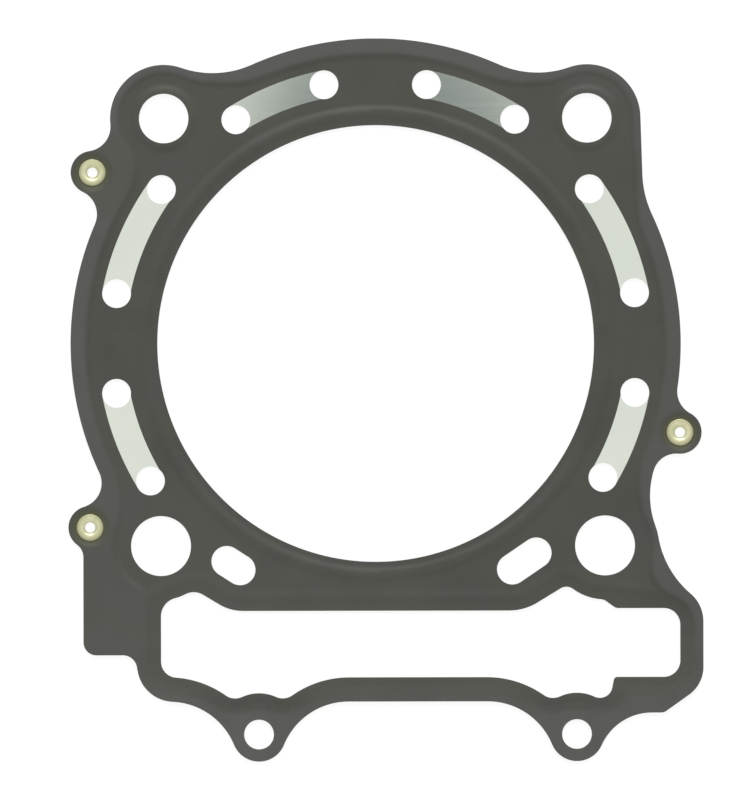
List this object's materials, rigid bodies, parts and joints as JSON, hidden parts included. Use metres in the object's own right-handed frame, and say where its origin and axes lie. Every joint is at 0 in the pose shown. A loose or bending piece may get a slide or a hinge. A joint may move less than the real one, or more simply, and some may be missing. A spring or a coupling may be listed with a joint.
{
  "type": "cylinder head gasket",
  "caption": "Flat multi-layer steel gasket with a large round bore, stud holes, curved coolant slots and a wide timing chain opening.",
  "frame": {"origin": "on the bore axis, at the plane the gasket rests on", "axes": "+Z along the bore axis towards the cylinder head, -Y towards the timing chain opening, +X towards the side with one rivet ear"},
  "size_m": [0.141, 0.1605, 0.0014],
  "materials": {
    "coated_sheet": "matte dark grey nitrile rubber coating on embossed stainless sheet",
    "bare_sheet": "bare rolled stainless sheet, satin",
    "rivet": "plain pale brass, slightly dull"
  },
  "bodies": {
    "root": {"top_layer": "coated_sheet", "middle_layer": "bare_sheet", "bottom_layer": "coated_sheet", "rivet_upper_left": "rivet", "rivet_lower_left": "rivet", "rivet_right": "rivet"}
  },
  "joints": []
}
